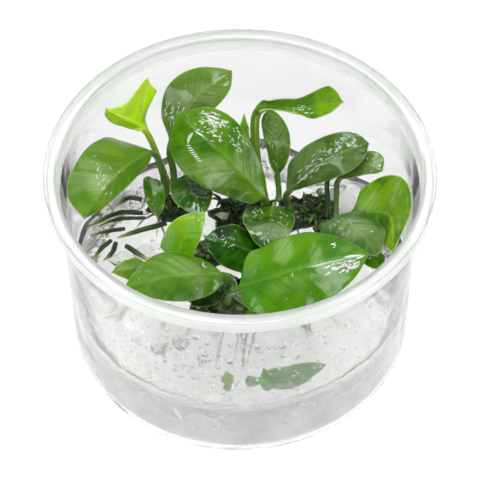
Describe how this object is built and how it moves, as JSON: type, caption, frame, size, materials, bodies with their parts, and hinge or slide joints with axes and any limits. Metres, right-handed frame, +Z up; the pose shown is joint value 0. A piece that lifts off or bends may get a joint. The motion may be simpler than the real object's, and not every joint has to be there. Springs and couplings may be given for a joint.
{
  "type": "tissue culture aquarium plants in a gel cup",
  "caption": "Young broad-leaved anubias plants with petioles, creeping rhizomes and roots, standing in clear growing gel in an open round translucent plastic cup.",
  "frame": {"origin": "middle of the cup's flat base, on the surface it stands on", "axes": "+Z up along the cup's axis, +X to the right and +Y to the back as the cup is usually shown"},
  "size_m": [0.095, 0.095, 0.062],
  "materials": {
    "cup_plastic": "translucent satin",
    "growing_gel": "clear wet gel",
    "leaf_green": "wet satin",
    "leaf_yellow_green": "wet satin",
    "rhizome_skin": "matte",
    "root_skin": "wet matte"
  },
  "bodies": {
    "root": {"cup": "cup_plastic", "gel": "growing_gel", "rhizome_left": "rhizome_skin", "rhizome_middle": "rhizome_skin", "rhizome_centre": "rhizome_skin", "rhizome_right": "rhizome_skin", "rhizome_front": "rhizome_skin", "root_01": "root_skin", "root_02": "root_skin", "root_03": "root_skin", "root_04": "root_skin", "root_05": "root_skin", "root_06": "root_skin", "root_07": "root_skin", "root_08": "root_skin", "root_09": "root_skin", "root_10": "root_skin", "root_11": "root_skin", "root_12": "root_skin", "root_13": "root_skin", "leaf_back_left": "leaf_green", "leaf_folded_young": "leaf_yellow_green", "leaf_left": "leaf_green", "leaf_hanging": "leaf_green", "leaf_round": "leaf_green", "leaf_middle": "leaf_green", "leaf_heart": "leaf_green", "leaf_upright": "leaf_green", "leaf_rolled": "leaf_yellow_green", "leaf_narrow": "leaf_yellow_green", "leaf_back_right": "leaf_green", "leaf_under": "leaf_green", "leaf_behind": "leaf_green", "leaf_right": "leaf_green", "leaf_side": "leaf_green", "leaf_low_right": "leaf_green", "leaf_young_front": "leaf_yellow_green", "leaf_dark": "leaf_green", "leaf_front_left": "leaf_green", "leaf_left_tip": "leaf_green", "leaf_front_right": "leaf_green", "leaf_under_front": "leaf_green", "leaf_dark_front": "leaf_green", "leaf_on_wall": "leaf_green", "leaf_low_front": "leaf_green"}
  },
  "joints": []
}
